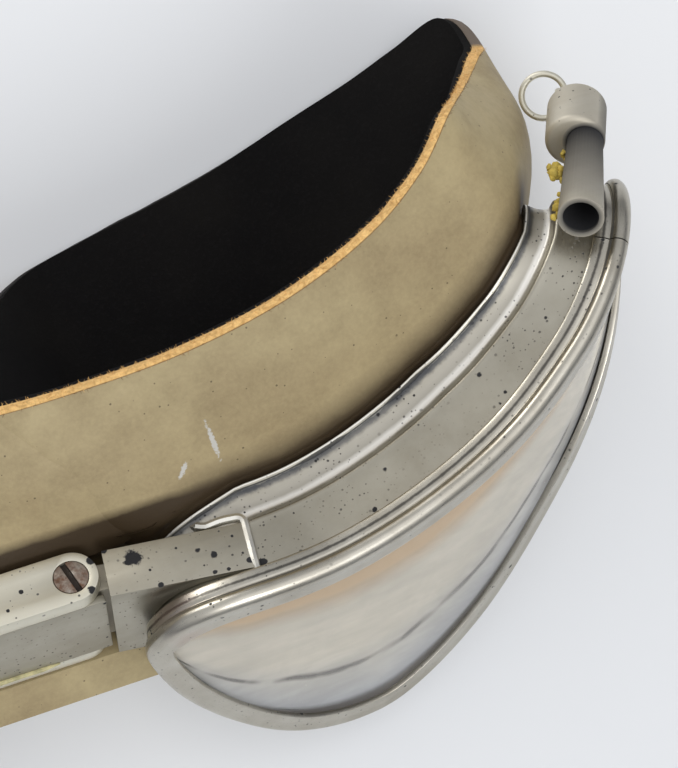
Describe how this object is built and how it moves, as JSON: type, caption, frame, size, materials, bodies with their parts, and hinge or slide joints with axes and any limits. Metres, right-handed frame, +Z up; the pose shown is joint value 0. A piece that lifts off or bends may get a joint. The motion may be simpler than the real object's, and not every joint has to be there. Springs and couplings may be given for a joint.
{
  "type": "flying goggles",
  "caption": "Metal-framed flying goggles with curved teardrop lenses, leather face cushions, a hinged nose bridge and wire strap rings.",
  "frame": {"origin": "middle of the bounding box at the table", "axes": "+X towards the pictured eyepiece, which is the wearer's left one, -Y the way the wearer looks, +Z up"},
  "size_m": [0.1846, 0.0826, 0.052],
  "materials": {
    "nickel_plate": "worn and pitted nickel plate",
    "top_link_plate": "cream worn nickel plate",
    "screw_steel": "rusty slotted screw",
    "lens_glass": "clear, hazy with age",
    "gasket_rubber": "matte",
    "tan_leather": "worn tan leather",
    "raw_leather_edge": "raw fibrous edge",
    "black_lining": "matte felt"
  },
  "bodies": {
    "bridge": {"bridge_top_link": "top_link_plate", "bridge_bottom_link": "nickel_plate", "bridge_web": "nickel_plate", "pivot_screws": "screw_steel", "nose_cushion": "tan_leather", "nose_lining": "black_lining", "nose_edge": "raw_leather_edge"},
    "right_eyepiece": {"right_lens": "lens_glass", "right_lens_gasket": "gasket_rubber", "right_lens_bezel": "nickel_plate", "right_eyecup_band": "nickel_plate", "right_bridge_bracket": "nickel_plate", "right_hinge_knuckle": "nickel_plate", "right_temple_tube": "nickel_plate", "right_temple_pin": "screw_steel", "right_face_cushion": "tan_leather", "right_cushion_lining": "black_lining", "right_cushion_edge": "raw_leather_edge"},
    "right_sleeve": {"right_strap_sleeve": "nickel_plate", "right_ring_clip": "nickel_plate"},
    "right_ring": {"right_strap_ring": "nickel_plate"},
    "left_eyepiece": {"left_lens": "lens_glass", "left_lens_gasket": "gasket_rubber", "left_lens_bezel": "nickel_plate", "left_eyecup_band": "nickel_plate", "left_bridge_bracket": "nickel_plate", "left_hinge_knuckle": "nickel_plate", "left_temple_tube": "nickel_plate", "left_temple_pin": "screw_steel", "left_face_cushion": "tan_leather", "left_cushion_lining": "black_lining", "left_cushion_edge": "raw_leather_edge"},
    "left_sleeve": {"left_strap_sleeve": "nickel_plate", "left_ring_clip": "nickel_plate"},
    "left_ring": {"left_strap_ring": "nickel_plate"}
  },
  "joints": [
    {"name": "right_eyepiece_hinge", "type": "hinge", "parent": "bridge", "child": "right_eyepiece", "pos_m": [0.013, -0.01251, 0.04313], "axis": [0, 0.454, 0.891], "range_deg": [-5, 15], "deforming": ["nose_cushion", "nose_lining", "nose_edge"]},
    {"name": "right_sleeve_turn", "type": "hinge", "parent": "right_eyepiece", "child": "right_sleeve", "pos_m": [0.0806, 0.00844, 0.05012], "axis": [0.4068, 0.571, -0.7131], "range_deg": [-60, 60]},
    {"name": "right_ring_swing", "type": "hinge", "parent": "right_sleeve", "child": "right_ring", "pos_m": [0.08892, 0.02451, 0.03085], "axis": [-0.1868, -0.9556, -0.2278], "range_deg": [-10, 60]},
    {"name": "left_eyepiece_hinge", "type": "hinge", "parent": "bridge", "child": "left_eyepiece", "pos_m": [-0.013, -0.01251, 0.04313], "axis": [0, -0.454, -0.891], "range_deg": [-5, 15], "deforming": ["nose_cushion", "nose_lining", "nose_edge"]},
    {"name": "left_sleeve_turn", "type": "hinge", "parent": "left_eyepiece", "child": "left_sleeve", "pos_m": [-0.0806, 0.00844, 0.05012], "axis": [0.4068, -0.571, 0.7131], "range_deg": [-60, 60]},
    {"name": "left_ring_swing", "type": "hinge", "parent": "left_sleeve", "child": "left_ring", "pos_m": [-0.08892, 0.02451, 0.03085], "axis": [-0.1868, 0.9556, 0.2278], "range_deg": [-10, 60]}
  ]
}
